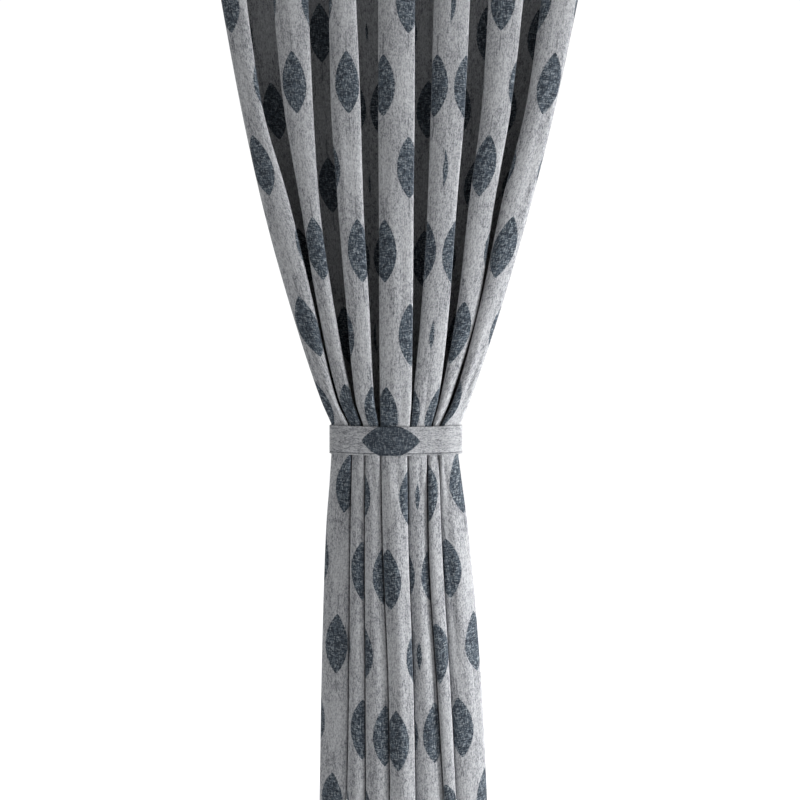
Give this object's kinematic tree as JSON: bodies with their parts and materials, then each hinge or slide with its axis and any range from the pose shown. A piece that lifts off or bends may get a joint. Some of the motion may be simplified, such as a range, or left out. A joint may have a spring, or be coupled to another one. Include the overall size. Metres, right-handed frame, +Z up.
{
  "type": "curtain panel with tie-back",
  "caption": "Gathered blackout curtain panel hanging in deep vertical folds, drawn in at the waist by a strap of the same leaf-patterned cloth.",
  "frame": {"origin": "middle of the top edge, half-way through the depth of the folds there", "axes": "+Z up along the drop, the printed face looks along -Y, X runs across the width"},
  "size_m": [1.0381, 0.2189, 2.5114],
  "materials": {
    "panel_cloth": "matt slubbed weave with a dark leaf print",
    "strap_cloth": "matt slubbed weave with a dark leaf print"
  },
  "bodies": {
    "root": {"curtain_panel": "panel_cloth", "tie_back": "strap_cloth"}
  },
  "joints": []
}
